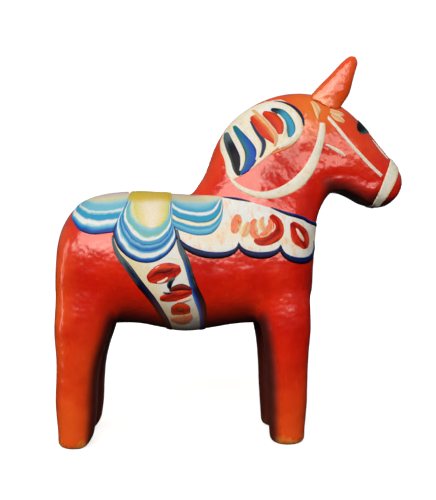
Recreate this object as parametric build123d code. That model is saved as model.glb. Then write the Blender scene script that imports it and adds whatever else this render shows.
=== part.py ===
from build123d import *
import math
import os

# A painted wooden horse. X runs forward to the muzzle, Y to the horse's left, Z up from the soles.
# It is carved from two boards glued side by side, with two ears let into the head on round pegs.
# The decoration is thick paint that stands proud of the wood, one piece to each stroke.

# Superellipse exponent of every carved section: 2 is an ellipse, more is boxier.
SECTION_POWER = 2.3
HALF_POINTS = 8

# Barrel stations: (x, lowest z, highest z, half width).
BARREL = [
    (-113.5, 88.0, 112.0, 15.0),
    (-112.5, 81.0, 121.0, 23.0),
    (-110.0, 76.0, 136.0, 29.5),
    (-102.5, 73.0, 148.0, 33.0),
    (-87.0, 73.0, 156.0, 35.0),
    (-62.0, 73.5, 158.5, 35.0),
    (-33.0, 68.5, 157.5, 35.0),
    (0.0, 72.5, 156.5, 35.0),
    (24.0, 73.0, 153.5, 34.0),
    (40.0, 75.0, 148.0, 30.5),
    (47.0, 82.0, 139.0, 24.0),
    (50.0, 95.0, 128.0, 14.0),
]
BARREL_PEAR = 0.06

# Neck and head stations: (crest x, crest z, throat x, throat z, half width).
NECK = [
    (-42.0, 137.0, 34.0, 86.0, 25.0),
    (-29.5, 156.5, 49.5, 112.0, 27.0),
    (-20.0, 170.0, 53.0, 136.0, 24.5),
    (-13.5, 187.0, 57.0, 149.0, 21.5),
    (-2.0, 205.0, 61.5, 157.0, 19.0),
    (15.5, 218.0, 65.0, 159.5, 18.0),
    (40.0, 225.0, 70.0, 160.0, 17.5),
    (63.0, 221.5, 75.5, 158.5, 17.0),
    (81.0, 209.5, 81.5, 155.5, 16.5),
    (93.0, 196.5, 87.5, 152.0, 15.5),
    (103.0, 184.5, 93.5, 150.0, 14.5),
    (110.0, 176.0, 99.0, 149.5, 13.5),
    (112.5, 170.0, 104.5, 152.0, 11.0),
    (113.5, 165.5, 109.5, 157.0, 5.5),
]
NECK_PEAR = 0.1

# Leg stations: (z, rear x, front x, inner y, outer y).
REAR_LEG = [
    (0.0, -111.5, -88.5, 9.5, 32.0),
    (20.0, -111.5, -87.0, 9.0, 33.0),
    (45.0, -111.5, -85.5, 8.5, 33.5),
    (60.0, -112.0, -82.0, 8.0, 34.0),
    (70.0, -113.0, -78.5, 7.5, 34.5),
    (86.0, -113.0, -74.0, 7.0, 34.5),
    (110.0, -109.0, -74.0, 7.5, 31.5),
]
FRONT_LEG = [
    (0.0, 21.0, 43.5, 9.5, 32.0),
    (20.0, 20.0, 44.0, 9.0, 33.0),
    (45.0, 19.0, 45.0, 8.5, 33.5),
    (60.0, 17.5, 46.0, 8.0, 34.0),
    (70.0, 15.5, 47.0, 7.5, 34.5),
    (86.0, 11.0, 47.5, 7.0, 34.0),
    (110.0, 12.0, 47.5, 7.5, 31.0),
]
SOLE_ROUND = 3.5

# Ear stations: (rear x, rear z, front x, front z, y of the middle, half thickness).
EAR = [
    (50.5, 219.0, 69.5, 208.5, 7.5, 5.4),
    (56.0, 229.0, 74.5, 221.5, 8.0, 5.2),
    (63.0, 236.0, 77.5, 231.0, 9.0, 4.6),
    (69.0, 242.5, 80.0, 240.0, 9.5, 3.7),
    (74.0, 247.0, 80.5, 245.0, 9.5, 2.7),
    (76.0, 248.0, 79.0, 247.5, 10.0, 1.2),
]
EAR_PEG_RADIUS = 3.0
EAR_PEG_LENGTH = 12.0
EAR_BORE_PLAY = 0.05
EAR_BORE_EXTRA = 0.5

# Two coats of paint: the ground strokes, and the flowers and locks on top of them.
GROUND_COAT = 0.6
TOP_COAT = 0.5
SMALLEST_STROKE = 0.5

# Ovals of the decoration in the side view: (x, z, half length, half height, tilt in degrees).
REAR_PETAL = (-86.5, 147.5, 17.0, 17.0, 0)
MIDDLE_PETAL = (-57.0, 136.0, 20.0, 23.0, 0)
FRONT_PETAL = (-24.5, 147.0, 17.0, 18.0, 0)
CROWN = (-53.0, 153.0, 12.0, 14.0, 0)
COLLAR_LOBES = [(-18.0, 133.0, 20.5, 14.0, 0), (13.5, 131.0, 13.0, 12.0, 0), (38.5, 129.0, 11.5, 13.5, 0)]
COLLAR_ROSES = [(-1.0, 137.0, 4.5, 7.0, -8), (19.0, 134.5, 7.5, 7.5, 0), (40.5, 131.0, 5.5, 7.5, 12)]
GIRTH_ROSES = [(-45.5, 107.5, 10.0, 5.0, 12), (-37.5, 95.5, 7.5, 4.5, 10), (-33.5, 84.5, 6.0, 5.0, 0)]
MANE_LOCKS = [(0.0, 183.5, 17.0, 2.5, -72), (7.0, 187.0, 18.0, 2.5, -64), (36.0, 204.0, 11.0, 2.5, -72)]
MANE_RED_LOCK = (21.5, 200.5, 12.0, 5.0, -55)
FOREHEAD_PATCH = (87.0, 201.0, 7.5, 3.5, -47)

# Lines of the decoration in the side view, as (x, z) points.
COLLAR_TOP = [(-16.0, 155.0), (0.0, 153.0), (9.0, 151.5), (21.0, 148.0), (32.0, 144.5), (48.5, 137.5)]
COLLAR_FOOT = [(-18.0, 130.0), (0.0, 129.0), (9.0, 128.0), (21.0, 127.5), (32.0, 127.0), (49.0, 126.0)]
COLLAR_EDGE = 2.0
GIRTH_REAR = [(-75.0, 129.5), (-67.5, 114.5), (-60.0, 102.0), (-51.0, 90.5), (-45.5, 80.0), (-42.5, 66.0)]
GIRTH_FRONT = [(-38.5, 134.5), (-33.5, 118.5), (-28.5, 105.5), (-24.5, 92.5), (-21.5, 84.5), (-21.0, 66.0)]
GIRTH_EDGE = 2.6
MANE_LEAF = [
    (27.0, 218.0),
    (13.0, 213.0),
    (1.0, 203.5),
    (-5.5, 195.0),
    (-8.0, 186.5),
    (-5.5, 175.5),
    (-3.5, 165.5),
    (5.5, 169.0),
    (14.0, 175.0),
    (26.5, 186.0),
    (37.5, 190.5),
    (42.5, 199.0),
    (42.0, 208.0),
    (37.0, 215.0),
]
# Throat strap stations: (x, z, width).
THROAT_STRAP = [
    (55.0, 206.5, 2.5),
    (55.5, 197.0, 3.5),
    (53.5, 186.5, 4.5),
    (48.0, 174.0, 6.0),
    (39.0, 164.0, 7.0),
    (28.0, 158.5, 5.5),
    (15.5, 157.5, 4.0),
    (5.0, 160.0, 3.0),
    (-1.0, 164.0, 2.5),
]
CHEEKPIECE = [(58.0, 209.0), (65.0, 200.5), (75.5, 188.0), (87.0, 176.5), (95.0, 169.0)]
CHEEK_DASH = [(58.5, 187.5), (65.0, 185.5), (71.5, 181.5)]
NOSE_LINE = [(91.0, 192.5), (97.0, 186.5), (102.0, 180.0)]
THIN_LINE = 1.8
NOSEBAND = [(112.0, 184.0), (106.0, 176.0), (101.5, 168.0), (96.5, 160.0), (90.0, 145.0)]
NOSEBAND_WIDTH = 6.0

# A length that runs past the whole horse.
WIDE = 400.0


def oval_points(centre, up, across, pear, first, last):
    """Points of a superellipse from angle first to angle last, both in half turns from its top."""
    centre, up, across = Vector(*centre), Vector(*up), Vector(*across)
    points = []
    for i in range(HALF_POINTS * (last - first) + 1):
        angle = math.pi * (first + i / HALF_POINTS)
        high = math.copysign(abs(math.cos(angle)) ** (2 / SECTION_POWER), math.cos(angle))
        wide = math.copysign(abs(math.sin(angle)) ** (2 / SECTION_POWER), math.sin(angle))
        points.append(centre + up * high + across * wide * (1 - pear * high))
    return points


def oval(centre, up, across, pear=0.0):
    """Closed section in one smooth edge, for the barrel, the legs and the ears."""
    points = oval_points(centre, up, across, pear, 0, 2)
    return Wire([Edge.make_spline(points[:-1], periodic=True)])


def seamed_oval(centre, up, across, pear=0.0):
    """Closed section in two edges that meet at its top and bottom, which keeps sections that turn from twisting."""
    out, back = Vector(*across), Vector(*across) * -1
    left = Edge.make_spline(oval_points(centre, up, across, pear, 0, 1), tangents=[out, back])
    right = Edge.make_spline(oval_points(centre, up, across, pear, 1, 2), tangents=[back, out])
    return Wire([left, right])


def barrel(grow):
    sections = []
    for i, (x, low, high, half_width) in enumerate(BARREL):
        end = {0: -grow, len(BARREL) - 1: grow}.get(i, 0.0)
        up = (0, 0, (high - low) / 2 + grow)
        sections.append(oval((x + end, 0, (low + high) / 2), up, (0, half_width + grow, 0), BARREL_PEAR))
    return Solid.make_loft(sections)


def neck_and_head(grow):
    sections = []
    for crest_x, crest_z, throat_x, throat_z, half_width in NECK:
        crest, throat = Vector(crest_x, 0, crest_z), Vector(throat_x, 0, throat_z)
        half = (crest - throat) / 2
        up = half.normalized() * (half.length + grow)
        sections.append(seamed_oval((crest + throat) / 2, up, (0, half_width + grow, 0), NECK_PEAR))
    return Solid.make_loft(sections)


def left_of_middle(solid):
    """What of solid lies to the left of the plane where the two boards are glued."""
    return solid & Pos(0, WIDE / 2, 0) * Box(WIDE, WIDE, 2 * WIDE)


def left_trunk(grow=0.0):
    """The left half of the horse without legs or ears, with its skin grow further out."""
    return left_of_middle(barrel(grow) + neck_and_head(grow))


def leg(stations):
    sections = []
    for z, rear, front, inner, outer in stations:
        centre = ((rear + front) / 2, (inner + outer) / 2, z)
        sections.append(oval(centre, ((front - rear) / 2, 0, 0), (0, (outer - inner) / 2, 0)))
    solid = Solid.make_loft(sections)
    sole = solid.faces().sort_by(Axis.Z)[0]
    return fillet(sole.edges(), SOLE_ROUND)


def ear_blade():
    sections = []
    for rear_x, rear_z, front_x, front_z, y, half_thickness in EAR:
        rear, front = Vector(rear_x, y, rear_z), Vector(front_x, y, front_z)
        sections.append(oval((rear + front) / 2, (front - rear) / 2, (0, half_thickness, 0)))
    return Solid.make_loft(sections)


def ear_peg(radius, length):
    """The round tenon that runs from inside the ear's root down into the head."""
    ends = []
    for rear_x, rear_z, front_x, front_z, y, _ in EAR[:2]:
        ends.append(Vector((rear_x + front_x) / 2, y, (rear_z + front_z) / 2))
    root, top = ends
    down = root - top
    return Solid.make_cylinder(radius, length + down.length, Plane(origin=top, z_dir=down.normalized()))


def side_points(points):
    return [Vector(x, 0, z) for x, z in points]


def side_oval(x, z, half_length, half_height, tilt=0):
    return Plane.XZ * Pos(x, z) * Rot(0, 0, tilt) * Ellipse(half_length, half_height)


def leaf(points):
    return make_face(Wire([Edge.make_spline(side_points(points), periodic=True)]))


def area_between(first, second):
    """The face between two curves that run the same way."""
    a, b = side_points(first), side_points(second)
    ends = [Edge.make_line(a[0], b[0]), Edge.make_line(a[-1], b[-1])]
    return make_face(Wire([Edge.make_spline(a), Edge.make_spline(b), *ends]))


def beside(points, distances):
    """The points moved sideways, to the left of the direction in which they run."""
    moved = []
    for i, (x, z) in enumerate(points):
        before, after = points[max(i - 1, 0)], points[min(i + 1, len(points) - 1)]
        run = Vector(after[0] - before[0], after[1] - before[1]).normalized()
        moved.append((x - run.Y * distances[i], z + run.X * distances[i]))
    return moved


def line(points, width):
    sides = [beside(points, [half] * len(points)) for half in (width / 2, -width / 2)]
    return area_between(*sides)


def tapering_line(stations):
    points = [(x, z) for x, z, _ in stations]
    halves = [width / 2 for _, _, width in stations]
    return area_between(beside(points, halves), beside(points, [-half for half in halves]))


def joined(faces):
    whole = faces[0]
    for face in faces[1:]:
        whole += face
    return whole


def ovals(sizes):
    return joined([side_oval(*size) for size in sizes])


def grown_ovals(sizes, by):
    return joined([side_oval(x, z, a + by, b + by, tilt) for x, z, a, b, tilt in sizes])


def saddle_faces():
    """Three petals that hang from the back, the middle one over the other two."""
    return {
        "saddle_middle_petal": side_oval(*MIDDLE_PETAL),
        "saddle_rear_petal": side_oval(*REAR_PETAL),
        "saddle_front_petal": side_oval(*FRONT_PETAL),
    }


def girth_faces():
    """The band that narrows down to the belly between two dark edges."""
    rear = beside(GIRTH_REAR, [GIRTH_EDGE] * len(GIRTH_REAR))
    front = beside(GIRTH_FRONT, [-GIRTH_EDGE] * len(GIRTH_FRONT))
    return {"girth": area_between(rear, front), "girth_edging": area_between(GIRTH_REAR, GIRTH_FRONT)}


def collar_faces():
    """The breast collar: a band with three lobes below it, lined above and below."""
    edging = grown_ovals(COLLAR_LOBES, COLLAR_EDGE) + line(COLLAR_TOP, 2 * COLLAR_EDGE)
    return {
        "breast_collar": ovals(COLLAR_LOBES) + area_between(COLLAR_TOP, COLLAR_FOOT),
        "collar_edging": edging,
    }


def head_faces():
    return {
        "mane_leaf": leaf(MANE_LEAF),
        "throat_strap": tapering_line(THROAT_STRAP),
        "bridle_cheekpiece": line(CHEEKPIECE, THIN_LINE),
        "cheek_dash": line(CHEEK_DASH, THIN_LINE),
        "noseband": line(NOSEBAND, NOSEBAND_WIDTH),
        "nose_line": line(NOSE_LINE, THIN_LINE),
        "forehead_patch": side_oval(*FOREHEAD_PATCH),
    }


def ground_faces():
    """Every stroke of the first coat in the side view, each cut back where an earlier one covers it."""
    faces = {}
    for name, face in {**saddle_faces(), **girth_faces(), **collar_faces(), **head_faces()}.items():
        for earlier in faces.values():
            face = face - earlier
        faces[name] = face
    return faces


def top_faces():
    return {
        "saddle_crown": side_oval(*CROWN),
        "collar_roses": ovals(COLLAR_ROSES),
        "girth_roses": ovals(GIRTH_ROSES),
        "mane_locks": ovals(MANE_LOCKS),
        "mane_red_lock": side_oval(*MANE_RED_LOCK),
    }


def painted(faces, under, over):
    """A solid for each stroke: what its outline holds between two skins of the trunk."""
    strokes = {}
    for name, face in faces.items():
        solid = (over & extrude(face, WIDE / 2, dir=(0, 1, 0))) - under
        strokes[name] = Compound([piece for piece in solid.solids() if piece.volume > SMALLEST_STROKE])
    return strokes


def wooden_pieces():
    """The left board, carved, and the left ear with its peg."""
    board = left_trunk() + leg(REAR_LEG) + leg(FRONT_LEG)
    peg = ear_peg(EAR_PEG_RADIUS, EAR_PEG_LENGTH)
    bore = ear_peg(EAR_PEG_RADIUS + EAR_BORE_PLAY, EAR_PEG_LENGTH + EAR_BORE_EXTRA)
    return {"body_half": board - bore, "ear": (ear_blade() - board) + peg}


def painted_pieces():
    wood, ground, top = left_trunk(), left_trunk(GROUND_COAT), left_trunk(GROUND_COAT + TOP_COAT)
    return {**painted(ground_faces(), wood, ground), **painted(top_faces(), ground, top)}


# Strokes that run across the middle of the back or of the face, each in one piece.
ACROSS_THE_MIDDLE = ["saddle_crown", "noseband", "forehead_patch"]


def build():
    nodes = {}
    for name, left in {**wooden_pieces(), **painted_pieces()}.items():
        right = mirror(left, Plane.XZ)
        if name in ACROSS_THE_MIDDLE:
            nodes[name] = left + right
        else:
            nodes[f"{name}_left"], nodes[f"{name}_right"] = left, right
    return nodes


os.makedirs("parts", exist_ok=True)
for name, solid in build().items():
    export_step(solid, f"parts/{name}.step")
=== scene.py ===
import math

import bmesh
import bpy
import numpy as np
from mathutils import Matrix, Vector, noise
from mathutils.bvhtree import BVHTree


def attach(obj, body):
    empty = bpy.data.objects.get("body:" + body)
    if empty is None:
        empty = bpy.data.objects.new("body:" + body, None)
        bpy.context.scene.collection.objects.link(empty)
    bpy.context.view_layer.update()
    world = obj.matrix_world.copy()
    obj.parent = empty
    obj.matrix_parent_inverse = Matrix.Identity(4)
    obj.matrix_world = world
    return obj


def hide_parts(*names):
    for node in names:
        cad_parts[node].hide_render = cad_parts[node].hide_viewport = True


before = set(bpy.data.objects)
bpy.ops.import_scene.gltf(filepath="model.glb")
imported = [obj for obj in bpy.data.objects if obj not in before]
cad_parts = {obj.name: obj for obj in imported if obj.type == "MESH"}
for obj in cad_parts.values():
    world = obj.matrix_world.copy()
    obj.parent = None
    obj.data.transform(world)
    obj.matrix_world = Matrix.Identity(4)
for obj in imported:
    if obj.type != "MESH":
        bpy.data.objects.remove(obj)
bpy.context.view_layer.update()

MM = 0.001
SIDES = {"left": 1, "right": -1}


# ---------------- the carved wood

BODY_VOXEL, EAR_VOXEL = 0.9 * MM, 0.5 * MM
BODY_SMOOTHING, EAR_SMOOTHING, UNDERSIDE_SMOOTHING, BLENDING = 20, 14, 12, 260
LEAST_WEIGHT = 0.01
CARVING_SEED = 3.0
CARVING_DEPTH, CARVING_SCALE = 0.22 * MM, 21 * MM
QUICK_DEPTH, QUICK_SCALE = 0.35, 0.4
FLAT_SOLE = 0.5 * MM
SOLE_FADE = 6 * MM
CUT_TOLERANCE = 1e-6

# From here to ARCH_X, each pair says where something sets in and where it is complete: in mm, or for
# INWARD, TOWARDS_ARCH, DOWNWARD and FORWARD how far the surface faces that way, from 0 to 1.
LEG_SIDES, LEG_TOPS, LEG_TOPS_END = (16, 24), (64, 82), (112, 126)
REAR_LEGS_END, FRONT_LEGS = (-66, -54), (-8, 4)
THROAT_X, THROAT_X_END = (36, 46), (58, 66)
THROAT_Z, THROAT_Z_END = (112, 124), (166, 178)
THROAT_BLENDING = 0.7

JAW_START, JAW_END, ROUNDED_DEPTH, ROUNDED_Z = (56, 64), (90, 98), (12, 17), (126, 136)

INWARD, TOWARDS_ARCH, DOWNWARD, FORWARD = (0.1, 0.7), (0.3, 0.85), (0.3, 0.95), (0.2, 0.7)
SHADED_LEGS_END = (84, 104)
SHADED_BELLY_Z, SHADED_JAW, SHADED_JAW_X = (55, 66), (6, 15), (52, 62)
SHADED_THROAT_X, SHADED_THROAT_X_END = (42, 50), (64, 70)
SHADED_THROAT_Z, SHADED_THROAT_Z_END = (128, 150), (164, 172)
THROAT_SHADE = 0.15

ARCH_X, ARCH_REACH = -35.0, 62.0
TOE_BACK, TOE_FRONT, TOE_LIFT, TOE_CURL = -100.0, -86.5, 12.0, 3.5

# Lines of the side view, as (x, z), and half widths of the horse, as (x, y) or (z, y).
JAW_LINE = [(57.6, 156.5), (70.4, 154.5), (85.1, 147.0), (93.5, 148.0)]
UNDERSIDE = [(54, 122), (56, 132), (57.5, 140), (59.5, 147), (62, 151.5), (66, 154.8), *JAW_LINE[1:]]
UNDERSIDE_RISE = 17.0
JAW_SIDES = [(57.0, 17.4), (94.0, 15.9)]
THROAT_SIDES = [(132, 23.5), (140, 21.0), (148, 19.5), (156, 18.5), (172, 17.5)]


def mesh_of(bm, name):
    """The finished mesh of bm, which is freed."""
    mesh = bpy.data.meshes.new(name)
    bm.to_mesh(mesh)
    bm.free()
    return mesh


def placed(name, data):
    """A new object of the scene that holds data."""
    obj = bpy.data.objects.new(name, data)
    bpy.context.scene.collection.objects.link(obj)
    return obj


def merged(name, sources):
    """The CAD nodes named in sources as one mesh, without the faces between the two boards."""
    bm = bmesh.new()
    for source in sources:
        bm.from_mesh(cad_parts[source].data)
    between = [f for f in bm.faces if all(abs(v.co.y) < CUT_TOLERANCE for v in f.verts)]
    bmesh.ops.delete(bm, geom=between, context="FACES")
    return mesh_of(bm, name)


def modified(mesh, name, *modifiers, weights=None):
    """A copy of mesh after modifiers, each (type, settings). weights fills the vertex group "blend"."""
    obj = placed(name, mesh)
    if weights is not None:
        group = obj.vertex_groups.new(name="blend")
        for i in np.nonzero(weights > LEAST_WEIGHT)[0]:
            group.add([int(i)], float(weights[i]), "REPLACE")
    for kind, settings in modifiers:
        modifier = obj.modifiers.new(kind.lower(), kind)
        for key, value in settings.items():
            setattr(modifier, key, value)
    evaluated = obj.evaluated_get(bpy.context.evaluated_depsgraph_get())
    result = bpy.data.meshes.new_from_object(evaluated)
    bpy.data.objects.remove(obj)
    result.name = name
    return result


def voxels(size):
    return ("REMESH", {"mode": "VOXEL", "voxel_size": size})


def soften(iterations, **settings):
    return ("SMOOTH", {"factor": 0.5, "iterations": iterations, **settings})


def remeshed(name, sources, voxel, smoothing):
    """One closed, evenly meshed and softened copy of the CAD nodes named in sources."""
    return modified(merged(name, sources), name, voxels(voxel), soften(smoothing))


def places_of(mesh):
    places = np.zeros(3 * len(mesh.vertices))
    mesh.vertices.foreach_get("co", places)
    return places.reshape(-1, 3)


def move_to(mesh, places):
    mesh.vertices.foreach_set("co", places.ravel())
    mesh.update()


def normals_at(mesh):
    normals = np.zeros(3 * len(mesh.vertices))
    mesh.vertex_normals.foreach_get("vector", normals)
    return normals.reshape(-1, 3)


def fade(value, pair):
    """0 below the pair's first number, 1 above its second, smooth between."""
    share = np.clip((value - pair[0]) / (pair[1] - pair[0]), 0, 1)
    return share * share * (3 - 2 * share)


def away_from_line(x, z, line):
    """Distance in the side view from each (x, z) to the chain of points in line."""
    nearest = np.full(len(x), np.inf)
    for (xa, za), (xb, zb) in zip(line, line[1:]):
        run = (xb - xa, zb - za)
        share = np.clip(((x - xa) * run[0] + (z - za) * run[1]) / (run[0] ** 2 + run[1] ** 2), 0, 1)
        nearest = np.minimum(nearest, np.hypot(x - xa - share * run[0], z - za - share * run[1]))
    return nearest


def rounded_underside(mesh, name):
    """Rounds the throat and the jaw into the sides, in place of the step that the boards have there."""
    places = places_of(mesh)
    x, y, z = (places / MM).T
    depth = away_from_line(x, z, UNDERSIDE)
    rise = np.clip(depth / UNDERSIDE_RISE, 0, 1)
    jaw = fade(x, JAW_START)
    sides = jaw * np.interp(x, *zip(*JAW_SIDES)) + (1 - jaw) * np.interp(z, *zip(*THROAT_SIDES))
    rounded = sides * np.sqrt(1 - (1 - rise) ** 2)
    share = (1 - fade(depth, ROUNDED_DEPTH)) * (1 - fade(x, JAW_END)) * fade(z, ROUNDED_Z)
    places[:, 1] += share * (np.sign(y) * rounded - y) * MM
    move_to(mesh, places)
    return modified(mesh, name, voxels(BODY_VOXEL), soften(UNDERSIDE_SMOOTHING))


def blended(mesh, name):
    """Runs the outer sides of the legs smoothly into the flanks, and rounds the throat, as a knife would."""
    x, y, z = (places_of(mesh) / MM).T
    outer = fade(np.abs(y), LEG_SIDES)
    height = fade(z, LEG_TOPS) * (1 - fade(z, LEG_TOPS_END))
    legs = np.maximum(1 - fade(x, REAR_LEGS_END), fade(x, FRONT_LEGS))
    throat = THROAT_BLENDING * fade(x, THROAT_X) * (1 - fade(x, THROAT_X_END))
    throat *= fade(z, THROAT_Z) * (1 - fade(z, THROAT_Z_END))
    weights = np.maximum(outer * height * legs, throat)
    return modified(mesh, name, soften(BLENDING, vertex_group="blend"), weights=weights)


def worn_feet(mesh):
    """Rounds the front corner of each rear foot up off the floor."""
    places = places_of(mesh)
    x, z = places[:, 0] / MM, places[:, 2] / MM
    lift = TOE_LIFT * np.clip((x - TOE_BACK) / (TOE_FRONT - TOE_BACK), 0, 1) ** TOE_CURL
    worn = (x < ARCH_X) & (z < 2 * lift)
    places[worn, 2] = (lift[worn] + z[worn] / 2) * MM
    move_to(mesh, places)


def carve(mesh, seed):
    """Gives the surface the slow unevenness that a knife leaves under the lacquer."""
    places = places_of(mesh)
    normals = normals_at(mesh)
    shift = np.full(3, seed)
    slow, quick = places / CARVING_SCALE + shift, places / (QUICK_SCALE * CARVING_SCALE) - shift
    depth = np.array([noise.noise(a) + QUICK_DEPTH * noise.noise(b) for a, b in zip(slow, quick)])
    places += normals * (depth * fade(places[:, 2], (0, SOLE_FADE)) * CARVING_DEPTH)[:, None]
    z = places[:, 2]
    low = z < FLAT_SOLE
    z[low] = np.maximum(0.0, z[low] - FLAT_SOLE * (1 - z[low] / FLAT_SOLE))
    move_to(mesh, places)


def mark_painted_shade(mesh):
    """Stores how much painted shade each point takes, darker and duller: between the legs, under the belly,
    jaw and throat.
    """
    x, y, z = (places_of(mesh) / MM).T
    nx, ny, nz = normals_at(mesh).T
    legs = 1 - fade(z, SHADED_LEGS_END)
    between = fade(-ny * np.sign(y), INWARD) * legs
    arch = fade(nx * np.sign(ARCH_X - x), TOWARDS_ARCH) * legs * (np.abs(x - ARCH_X) < ARCH_REACH)
    under = fade(-nz, DOWNWARD) * fade(z, SHADED_BELLY_Z)
    jaw = (1 - fade(away_from_line(x, z, JAW_LINE), SHADED_JAW)) * fade(x, SHADED_JAW_X)
    throat = THROAT_SHADE * fade(nx, FORWARD) * fade(x, SHADED_THROAT_X) * fade(z, SHADED_THROAT_Z)
    throat *= (1 - fade(x, SHADED_THROAT_X_END)) * (1 - fade(z, SHADED_THROAT_Z_END))
    painted_shade = np.max([between, arch, under, jaw, throat], axis=0)
    mesh.attributes.new("painted_shade", "FLOAT", "POINT").data.foreach_set("value", painted_shade)


def half_of(mesh, side, name):
    """The part of mesh on one side of the glue line, closed by a flat face."""
    bm = bmesh.new()
    bm.from_mesh(mesh)
    everything = bm.verts[:] + bm.edges[:] + bm.faces[:]
    bmesh.ops.bisect_plane(
        bm, geom=everything, plane_co=(0, 0, 0), plane_no=(0, -side, 0), clear_outer=True, dist=CUT_TOLERANCE
    )
    rim = [e for e in bm.edges if e.is_boundary]
    for face in bm.faces:
        face.smooth = True
    for edge in rim:
        edge.smooth = False
    bmesh.ops.triangle_fill(bm, edges=rim, use_beauty=True, normal=(0, -side, 0))
    bmesh.ops.recalc_face_normals(bm, faces=bm.faces[:])
    return mesh_of(bm, name)


def add_piece(name, mesh, material, slot, *nodes):
    obj = placed(name, mesh)
    mesh.materials.append(material)
    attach(obj, "root")
    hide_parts(*nodes)
    return obj


# ---------------- materials


def rgb(red, green, blue):
    """Linear colour of an sRGB colour in 0 to 255."""
    linear = []
    for value in (red, green, blue):
        value /= 255
        linear.append(value / 12.92 if value <= 0.04045 else ((value + 0.055) / 1.055) ** 2.4)
    return (*linear, 1.0)


class Nodes:
    """Short calls for building the node tree of a new material or world."""

    def __init__(self, owner, shader="Principled BSDF"):
        owner.use_nodes = True
        self.owner, self.tree = owner, owner.node_tree
        self.shader = self.tree.nodes[shader]

    def put(self, value, socket):
        if isinstance(value, bpy.types.NodeSocket):
            self.tree.links.new(value, socket)
        else:
            socket.default_value = value

    def node(self, kind, inputs, output=0, **settings):
        """The output of a new node. inputs are by name or number, settings by name."""
        node = self.tree.nodes.new("ShaderNode" + kind)
        for key, value in settings.items():
            setattr(node, key, value)
        for key, value in inputs.items():
            self.put(value, node.inputs[key])
        return node.outputs[output]

    def math(self, operation, a, b=0.0, c=0.0):
        return self.node("Math", {0: a, 1: b, 2: c}, operation=operation)

    def position(self):
        return self.node("TexCoord", {}, "Object")

    def uv_map(self, name):
        return self.node("UVMap", {}, uv_map=name)

    def attribute(self, name):
        return self.node("Attribute", {}, "Fac", attribute_name=name)

    def split(self, vector):
        node = self.tree.nodes.new("ShaderNodeSeparateXYZ")
        self.put(vector, node.inputs[0])
        return node.outputs

    def scaled(self, vector, scale, shift=(0, 0, 0)):
        return self.node("Mapping", {"Vector": vector, "Scale": scale, "Location": shift})

    def noise(self, vector, scale=1.0, detail=3.0, roughness=0.55):
        inputs = {"Vector": vector, "Scale": scale, "Detail": detail, "Roughness": roughness}
        return self.node("TexNoise", inputs, "Fac")

    def ramp(self, value, stops):
        node = self.tree.nodes.new("ShaderNodeValToRGB")
        elements = node.color_ramp.elements
        elements[0].position, elements[0].color = stops[0]
        elements[1].position, elements[1].color = stops[-1]
        for position, colour in stops[1:-1]:
            elements.new(position).color = colour
        self.put(value, node.inputs[0])
        return node.outputs[0]

    def mix(self, share, a, b, blend="MIX"):
        inputs = {"Factor": share, "A": a, "B": b}
        return self.node("Mix", inputs, "Result", data_type="RGBA", blend_type=blend)

    def tint(self, colour, share, strength, other):
        """colour with other over it, strength strong where share is 1."""
        return self.mix(self.math("MULTIPLY", share, strength), colour, other)

    def step(self, value, low, high):
        """0 below low, 1 above high, smooth between."""
        inputs = {"Value": value, "From Min": low, "From Max": high}
        return self.node("MapRange", inputs, interpolation_type="SMOOTHSTEP")

    def fall(self, value, low, high):
        """1 below low, 0 above high, smooth between."""
        return self.math("SUBTRACT", 1.0, self.step(value, low, high))

    def bump(self, height, distance, strength, **under):
        inputs = {"Strength": strength, "Distance": distance, "Height": height, **under}
        return self.node("Bump", inputs)

    def finish(self, inputs):
        """The material or world, with the inputs of its shader given by name."""
        for name, value in inputs.items():
            self.put(value, self.shader.inputs[name])
        return self.owner


RED_TONES = [(0.3, rgb(190, 18, 4)), (0.5, rgb(208, 26, 6)), (0.7, rgb(222, 42, 12))]
ORANGE_TONES = [(0.3, rgb(222, 62, 16)), (0.7, rgb(238, 98, 32))]
GLOW, STREAK, WORN = rgb(232, 128, 42), rgb(240, 82, 30), rgb(234, 152, 50)
# Dark specks, the dark red of the painted shade, and a brown for the lower girth.
SPECK, PAINTED_SHADE_COLOUR, LOW_BROWN = rgb(130, 10, 6), rgb(54, 8, 4), rgb(128, 74, 30)
GRAIN_TONES = [(0.2, (0.86, 0.86, 0.86, 1.0)), (0.8, (1.0, 1.0, 1.0, 1.0))]

# Where the paint changes, in metres.
LEGS_ORANGE, FRONT_LEGS_X, FRONT_LEGS_LESS = (0.03, 0.115), (0.0, 0.03), 0.032
HEAD_ORANGE, RUMP_ORANGE = (0.180, 0.245), (0.098, 0.122)
NAPE_SLOPE, NAPE_ORANGE, NAPE_Z = 0.62, (0.105, 0.14), (0.150, 0.165)
EAR_ROOT, EAR_GLOW = (0.050, 0.212), (0.016, 0.040)
SOLE_WEAR = (0.0002, 0.0060)
PETAL_TOPS, RIDGE, BROWN_BELOW = (0.136, 0.152), (0.1515, 0.1560), (0.077, 0.100)
HAIR_RELIEF = 0.00016


def thin_enamel_and_painted_light(n, place, cloud):
    """Where the red enamel shows orange: legs, head, nape and rump, partly as thin enamel and partly as
    painted light falling on them.
    """
    x, _, z = n.split(place)
    drift = n.math("MULTIPLY", cloud, 0.03)
    height = n.math("ADD", z, drift)
    front = n.math("MULTIPLY", n.step(x, *FRONT_LEGS_X), FRONT_LEGS_LESS)
    legs = n.fall(n.math("ADD", height, front), *LEGS_ORANGE)
    head = n.step(height, *HEAD_ORANGE)
    behind = n.math("SUBTRACT", n.math("MULTIPLY", z, NAPE_SLOPE), x)
    nape = n.math("MULTIPLY", n.step(behind, *NAPE_ORANGE), n.step(z, *NAPE_Z))
    rump = n.step(n.math("SUBTRACT", n.math("MULTIPLY", drift, 0.5), x), *RUMP_ORANGE)
    return n.math("MAXIMUM", n.math("MAXIMUM", legs, head), n.math("MAXIMUM", nape, rump))


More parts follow.
